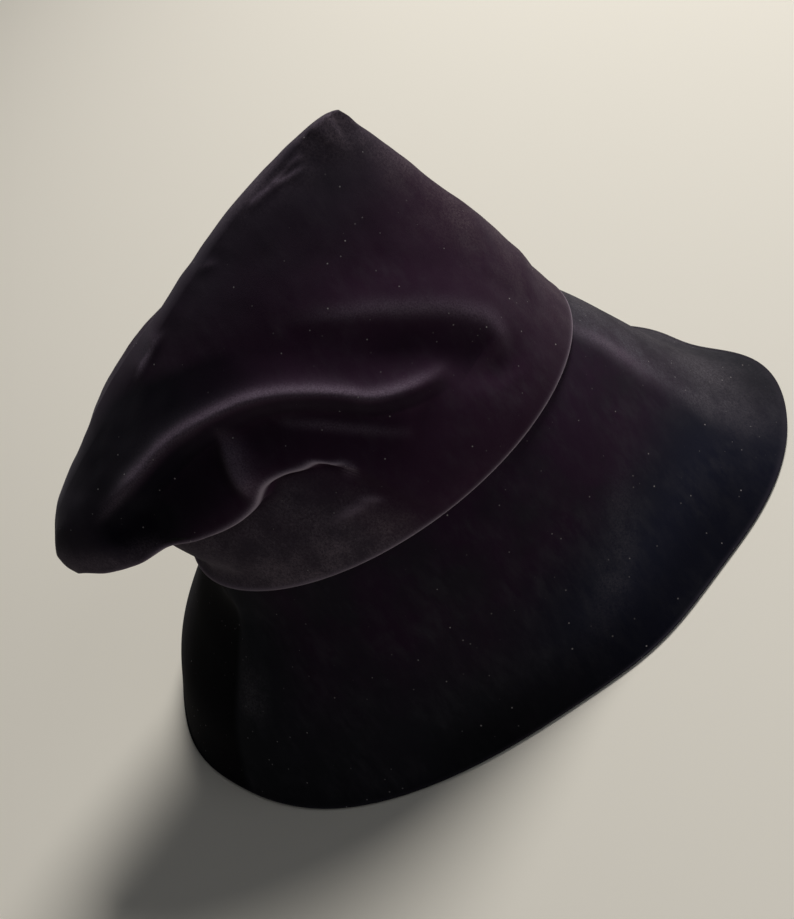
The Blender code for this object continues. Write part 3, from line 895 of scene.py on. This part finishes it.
def blend_node(tree, share, first, second):
    """Two colours, each a plain colour or a socket, blended by a socket's value."""
    made = tree.nodes.new("ShaderNodeMix")
    made.data_type = "RGBA"
    slots = [made.inputs[6], made.inputs[7]]  # the two sockets that take colours
    for slot, colour in zip(slots, (first, second)):
        if isinstance(colour, tuple):
            slot.default_value = (*colour, 1)
        else:
            link(tree, colour, slot)
    link(tree, share, made.inputs["Factor"])
    return made.outputs[2]


def times_node(tree, first, second):
    made = tree.nodes.new("ShaderNodeMath")
    made.operation = "MULTIPLY"
    link(tree, first, made.inputs[0])
    link(tree, second, made.inputs[1])
    return made.outputs["Value"]


def mark_node(tree, name):
    """One of the marks that the cloth's points carry."""
    made = tree.nodes.new("ShaderNodeAttribute")
    made.attribute_name = name
    return made.outputs["Fac"]


# %% The velvet's noises
NOISES = {
    # lumps in a metre, detail and roughness, then the low and high values that become the least
    # and 1, and that least
    "blotches": (24.0, 5.0, 0.6, 0.38, 0.60, 0.35),
    "strokes": (1.0, 5.0, 0.65, 0.40, 1.15, 0.0),
    "worn": (45.0, 3.0, 0.6, 0.35, 0.65, 0.0),
    "patches": (60.0, 5.0, 0.65, 0.36, 0.62, 0.20),
    "powder": (1000.0, 4.0, 0.85, 0.38, 0.62, 0.12),
    "grain": (1500.0, 3.0, 0.7, 0.15, 0.70, 0.0),
}
STROKE_TURN = (0.5, 0.3, 0.8)  # the way the pile was last brushed, as a turn of the strokes
STROKE_SCALE = (90.0, 210.0, 90.0)  # lumps in a metre along and across a stroke
LINT_CELLS = 200.0  # cells in a metre, with a speck in each
LINT_SIZE = (0.080, 0.040)  # a speck's outer and inner edge, in cells
LINT_LIGHT = (0.3, 0.9, 0.05)  # most specks are dim, and few are bright


def layer_node(tree, place, name):
    """One of the velvet's noises."""
    scale, detail, roughness, low, high, least = NOISES[name]
    return stretch_node(tree, noise_node(tree, place, scale, detail, roughness), low, high, least)


def strokes_node(tree, place):
    """Noise drawn out along the way that the pile was brushed, where it is worn."""
    turned = tree.nodes.new("ShaderNodeMapping")
    turned.inputs["Rotation"].default_value = STROKE_TURN
    turned.inputs["Scale"].default_value = STROKE_SCALE
    link(tree, place, turned.inputs["Vector"])
    strokes = layer_node(tree, turned.outputs["Vector"], "strokes")
    return times_node(tree, strokes, layer_node(tree, place, "worn"))


def lint_node(tree, place):
    """Where the specks of lint lie, and how bright each one is."""
    cells = tree.nodes.new("ShaderNodeTexVoronoi")
    cells.inputs["Scale"].default_value = LINT_CELLS
    link(tree, place, cells.inputs["Vector"])
    speck = stretch_node(tree, cells.outputs["Distance"], *LINT_SIZE)
    return times_node(tree, speck, stretch_node(tree, cells.outputs["Color"], *LINT_LIGHT))


print("the velvet's finest noise has lumps of", round(1000 / NOISES["grain"][0], 2), "mm")

# %% The velvet's colour
# the colours of the painted highlights on crests and on turned edges, and of lint
HIGHLIGHT_COLOUR = (0.205, 0.160, 0.215)
EDGE_HIGHLIGHT_COLOUR = (0.30, 0.25, 0.31)
LINT = (0.34, 0.32, 0.33)


def velvet_colour(tree, place, plain, cast, tint, deep, brushed, dust, warm_dust):
    """The plain cloth's colour, with one after another of the others laid over it."""
    share = times_node(tree, mark_node(tree, "cast"), layer_node(tree, place, "blotches"))
    colour = blend_node(tree, share, plain, cast)
    colour = blend_node(tree, mark_node(tree, "tint"), colour, tint)
    colour = blend_node(tree, strokes_node(tree, place), colour, brushed)
    # painted shade: the colour darkens towards the deep colour
    colour = blend_node(tree, mark_node(tree, "painted_shade"), colour, deep)
    # dust, and painted light where the same mark stands for it
    share = times_node(tree, mark_node(tree, "dust"), layer_node(tree, place, "patches"))
    share = times_node(tree, share, layer_node(tree, place, "powder"))
    dust = blend_node(tree, mark_node(tree, "cast"), dust, warm_dust)
    colour = blend_node(tree, share, colour, dust)
    # painted highlights on the folds' crests, the lip, the hem and the brim's front
    share = times_node(tree, mark_node(tree, "painted_highlight"), layer_node(tree, place, "grain"))
    colour = blend_node(tree, share, colour, HIGHLIGHT_COLOUR)
    # a painted highlight along turned edges
    colour = blend_node(tree, mark_node(tree, "turned"), colour, EDGE_HIGHLIGHT_COLOUR)
    return blend_node(tree, lint_node(tree, place), colour, LINT)


# %% The two velvets
COARSE_BUMP = (110.0, 4.0, 0.6, 0.30, 0.0005)  # scale, detail, roughness, strength and height
FINE_BUMP = (1800.0, 3.0, 0.7, 0.25, 0.0002)
SHEEN_TINT = (0.92, 0.88, 1.0, 1)


def bump_node(tree, place, scale, detail, roughness, strength, height):
    made = tree.nodes.new("ShaderNodeBump")
    made.inputs["Strength"].default_value = strength
    made.inputs["Distance"].default_value = height
    link(tree, noise_node(tree, place, scale, detail, roughness), made.inputs["Height"])
    return made


def make_velvet(name, sheen, **colours):
    """A velvet, from its sheen and the colours that velvet_colour names."""
    material = bpy.data.materials.new(name)
    material.use_nodes = True
    tree = material.node_tree
    shader = tree.nodes["Principled BSDF"]
    shader.inputs["Roughness"].default_value = 0.9
    shader.inputs["Specular IOR Level"].default_value = 0.03
    shader.inputs["Sheen Weight"].default_value = sheen
    shader.inputs["Sheen Roughness"].default_value = 0.45
    shader.inputs["Sheen Tint"].default_value = SHEEN_TINT
    place = tree.nodes.new("ShaderNodeTexCoord").outputs["Object"]
    link(tree, velvet_colour(tree, place, **colours), shader.inputs["Base Color"])
    coarse = bump_node(tree, place, *COARSE_BUMP)
    fine = bump_node(tree, place, *FINE_BUMP)
    link(tree, coarse.outputs["Normal"], fine.inputs["Normal"])
    link(tree, fine.outputs["Normal"], shader.inputs["Normal"])
    print(name, "has", len(tree.nodes), "nodes")
    return material


# in both velvets, deep is the colour of the painted shade, and dust and warm_dust are the colours of dust
# and of painted light
crown_velvet = make_velvet(
    "crown_velvet", 0.09, plain=(0.031, 0.026, 0.037), cast=(0.030, 0.016, 0.030),
    tint=(0.028, 0.012, 0.027), deep=(0.004, 0.003, 0.007), brushed=(0.054, 0.043, 0.058),
    dust=(0.142, 0.114, 0.150), warm_dust=(0.154, 0.120, 0.132),
)
brim_velvet = make_velvet(
    "brim_velvet", 0.03, plain=(0.016, 0.017, 0.021), cast=(0.024, 0.012, 0.026),
    tint=(0.012, 0.013, 0.025), deep=(0.001, 0.001, 0.002), brushed=(0.048, 0.047, 0.056),
    dust=(0.118, 0.108, 0.122), warm_dust=(0.100, 0.098, 0.118),
)

# %% [markdown]
# ## The cloth inside
# The inside of such a hat is covered with a plain, dark woven cloth. Its threads are finer than a
# millimetre, so they could never be modelled one by one. Two close shades in small checks stand for
# the weave.

# %% The inner cloth
WEAVE_SCALE = 1200.0  # checks in a metre


def make_inner_cloth():
    material = bpy.data.materials.new("inner_cloth")
    material.use_nodes = True
    tree = material.node_tree
    shader = tree.nodes["Principled BSDF"]
    shader.inputs["Roughness"].default_value = 0.85
    shader.inputs["Specular IOR Level"].default_value = 0.3
    place = tree.nodes.new("ShaderNodeTexCoord")
    weave = tree.nodes.new("ShaderNodeTexChecker")
    weave.inputs["Scale"].default_value = WEAVE_SCALE
    weave.inputs["Color1"].default_value = (0.010, 0.009, 0.011, 1)
    weave.inputs["Color2"].default_value = (0.020, 0.018, 0.021, 1)
    link(tree, place.outputs["Object"], weave.inputs["Vector"])
    link(tree, weave.outputs["Color"], shader.inputs["Base Color"])
    return material


inner_cloth = make_inner_cloth()
for piece, velvet in ((crown_cloth, crown_velvet), (brim_cloth, brim_velvet)):
    piece.data.materials.append(velvet)
    piece.data.materials.append(inner_cloth)
    print(piece.name, "wears", [material.name for material in piece.data.materials])

# %% [markdown]
# ## Say what each piece stands for
# The plain solids have the right size and place, but no fine folds. They could be given the
# velvet as they are, and would look like plaster casts. So each cloth piece rides on the frame's
# one body and takes the place of its plain solid.

# %% Ride and replace
for piece, plain, finish in (
    (crown_cloth, "crown", "crown_velvet"),
    (brim_cloth, "brim", "brim_velvet"),
):
    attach(piece, "root")
    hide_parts(plain)
    print(piece.name, "stands for", plain)

# %% [markdown]
# ## The floor
# A black hat needs a pale ground to stand out from. A studio would use a sheet of paper that runs up
# the wall. From this high up a wide, matt floor fills the whole view, so one plane does.

# %% The floor
FLOOR_SIZE = 8.0


def make_floor():
    bpy.ops.mesh.primitive_plane_add(size=FLOOR_SIZE)
    floor = bpy.context.object
    floor.name = "floor"
    material = bpy.data.materials.new("floor_paper")
    material.use_nodes = True
    shader = material.node_tree.nodes["Principled BSDF"]
    shader.inputs["Base Color"].default_value = (0.96, 0.925, 0.83, 1)
    shader.inputs["Roughness"].default_value = 0.8
    floor.data.materials.append(material)
    floor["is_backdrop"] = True
    print("the floor is", FLOOR_SIZE, "m wide")


make_floor()

# %% [markdown]
# ## The camera
# The camera looks down on the hat's near side, and it is rolled, so that the hat leans in the
# picture as in the photograph although it stands level. Its place could be set by eye. These values
# come from fitting a camera to two ovals whose real shape is known: the seam and the brim's edge.

# %% The camera
CAMERA_AZIMUTH = -83.92  # degrees from the front, towards the near side
CAMERA_ELEVATION = 38.40
CAMERA_ROLL = -38.82
CAMERA_DISTANCE = 0.59155
CAMERA_TARGET = Vector((0.0, 0.00184, 0.0621))
CAMERA_LENS = 50.93  # millimetres
SENSOR_WIDTH = 36.0


def make_camera():
    azimuth, elevation, roll = (math.radians(a) for a in (CAMERA_AZIMUTH, CAMERA_ELEVATION, CAMERA_ROLL))
    back = Vector((
        math.sin(azimuth) * math.cos(elevation),
        -math.cos(azimuth) * math.cos(elevation),
        math.sin(elevation),
    ))
    level_right = (-back).cross(Vector((0, 0, 1))).normalized()
    level_up = level_right.cross(-back)
    right = math.cos(roll) * level_right + math.sin(roll) * level_up
    up = -math.sin(roll) * level_right + math.cos(roll) * level_up
    eye = CAMERA_TARGET + back * CAMERA_DISTANCE - Vector(CENTRE)
    data = bpy.data.cameras.new("camera")
    data.lens = CAMERA_LENS
    data.sensor_width = SENSOR_WIDTH
    camera = bpy.data.objects.new("camera", data)
    camera.matrix_world = Matrix((
        (right.x, up.x, back.x, eye.x),
        (right.y, up.y, back.y, eye.y),
        (right.z, up.z, back.z, eye.z),
        (0, 0, 0, 1),
    ))
    bpy.context.scene.collection.objects.link(camera)
    bpy.context.scene.camera = camera
    print("camera stands", round(eye.z, 3), "m above the floor")


make_camera()

# %% [markdown]
# ## The light
# Velvet shows its folds when it is lit along its surface, and looks flat when it is lit from the
# camera. One small lamp would do that, with hard shadows. Here the main light is a wide disc high
# up on the hat's far front side, so that it skims across the crown towards the camera. A weaker disc
# and a dim sky fill the shadows.

# %% The lights
LIT_SPOT = Vector((0, 0, 0.1))  # both lights point here
SKY_STRENGTH = 0.05


def add_light(name, place, size, power, colour):
    data = bpy.data.lights.new(name, "AREA")
    data.shape = "DISK"
    data.size = size
    data.energy = power
    data.color = colour
    light = bpy.data.objects.new(name, data)
    light.location = place
    light.rotation_euler = (LIT_SPOT - Vector(place)).to_track_quat("-Z", "Y").to_euler()
    bpy.context.scene.collection.objects.link(light)
    print(name, "light:", power, "W from a disc", size, "m wide")


add_light("key", (0.90, -1.30, 1.62), 0.9, 40.0, (1.0, 0.97, 0.93))
add_light("fill", (-0.9, -1.1, 1.0), 1.2, 2.5, (0.95, 0.96, 1.0))
world = bpy.data.worlds.new("studio")
world.use_nodes = True
sky = world.node_tree.nodes["Background"]
sky.inputs["Color"].default_value = (0.95, 0.97, 1.0, 1)
sky.inputs["Strength"].default_value = SKY_STRENGTH
bpy.context.scene.world = world
bpy.context.scene.view_settings.view_transform = "Standard"

# %% [markdown]
# ## The size
# The dressed hat has to stay inside the frame's box. Both boxes are worked out and printed.

# %% The sizes
dressed_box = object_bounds()
boxes = {"cad": cad_box, "visual": dressed_box}
boxes = {name: [list(map(float, corner)) for corner in box] for name, box in boxes.items()}
print("cad box", cad_box)
print("dressed box", dressed_box)
